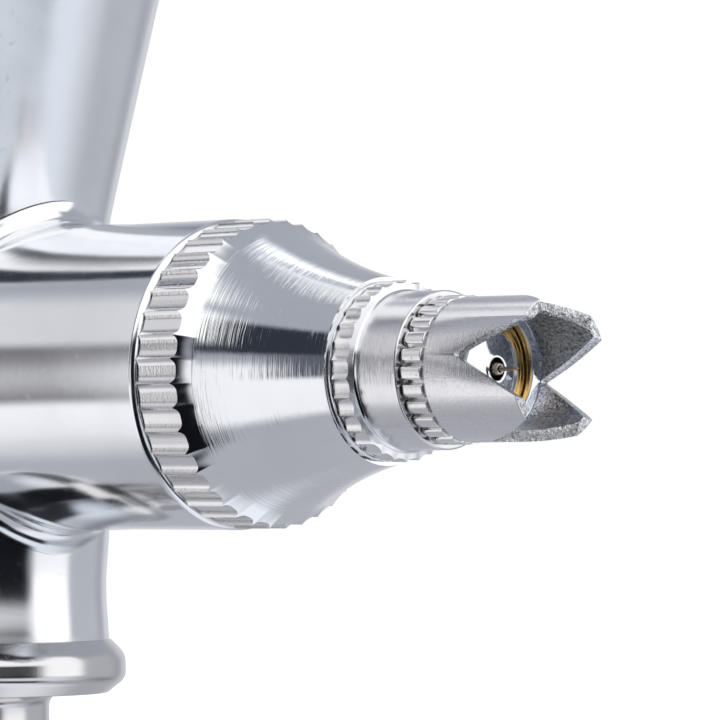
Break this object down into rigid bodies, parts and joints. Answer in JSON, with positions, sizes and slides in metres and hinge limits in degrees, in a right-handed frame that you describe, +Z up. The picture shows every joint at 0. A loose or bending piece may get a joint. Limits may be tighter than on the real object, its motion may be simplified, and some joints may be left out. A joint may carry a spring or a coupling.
{
  "type": "airbrush gun",
  "caption": "Gravity-feed airbrush gun with a finger trigger, tapered paint cup and lid, stepped spray head with a notched needle cap, cut-away handle and needle preset.",
  "frame": {"origin": "centre of the air inlet stud, where its full thread begins, 0.5 mm above the stud's lower face", "axes": "+X along the needle towards the nose, +Z up along the valve and the paint cup, +Y to the left side when sighting along the nose"},
  "size_m": [0.1734, 0.026, 0.0811],
  "materials": {
    "chrome_body": "polished plate over turned brass",
    "chrome_cup": "polished plate over spun brass",
    "chrome_turned": "plate over fine turning marks",
    "stainless": "ground and polished",
    "spring_steel": "drawn wire",
    "brass": "turned, bare",
    "ptfe": "matt white",
    "rubber": "matt black"
  },
  "bodies": {
    "root": {"barrel": "chrome_body", "cup": "chrome_cup", "head": "chrome_turned", "head_seal": "ptfe", "nozzle": "brass", "nozzle_cap": "chrome_turned", "needle_cap": "chrome_turned", "needle_packing": "ptfe", "packing_screw": "brass", "trigger_screw": "chrome_body", "needle_spring": "spring_steel", "spring_case": "brass", "handle": "chrome_body", "valve_body": "chrome_body", "valve_gasket": "ptfe", "valve_stem_seal": "rubber", "valve_guide_screw": "brass", "valve_spring": "spring_steel"},
    "trigger": {"trigger": "chrome_body"},
    "needle": {"needle": "stainless", "needle_guide": "brass", "needle_nut": "chrome_turned"},
    "valve": {"valve_button": "stainless", "valve_poppet": "brass", "valve_packing": "rubber"},
    "lid": {"cup_lid": "chrome_cup"},
    "preset_rod": {"preset_rod": "stainless"},
    "preset_knob": {"preset_knob": "chrome_body"}
  },
  "joints": [
    {"name": "trigger_pull", "type": "hinge", "parent": "root", "child": "trigger", "pos_m": [-0.009, 0, 0.0262], "axis": [0, 1, 0], "range_deg": [0, 18], "stiffness_Nm_per_rad": 0.2, "springref_deg": -17.19},
    {"name": "needle_draw", "type": "slide", "parent": "root", "child": "needle", "axis": [-1, 0, 0], "range_m": [0, 0.0021], "deforming": ["needle_spring"]},
    {"name": "valve_push", "type": "slide", "parent": "root", "child": "valve", "axis": [0, 0, -1], "range_m": [0, 0.00288], "deforming": ["valve_spring"]},
    {"name": "lid_lift", "type": "slide", "parent": "root", "child": "lid", "axis": [0, 0, 1], "range_m": [0, 0.03]},
    {"name": "preset_travel", "type": "slide", "parent": "root", "child": "preset_rod", "axis": [-1, 0, 0], "range_m": [0, 0.002]},
    {"name": "preset_turn", "type": "hinge", "parent": "preset_rod", "child": "preset_knob", "pos_m": [-0.134, 0, 0.023], "axis": [-1, 0, 0], "range_deg": [0, 1440]}
  ],
  "couplings": [
    {"joint": "trigger_pull", "follows": "needle_draw", "rad_per_m": 149.25},
    {"joint": "valve_push", "follows": "needle_draw", "ratio": 1.343},
    {"joint": "preset_turn", "follows": "preset_travel", "rad_per_m": 12566}
  ]
}
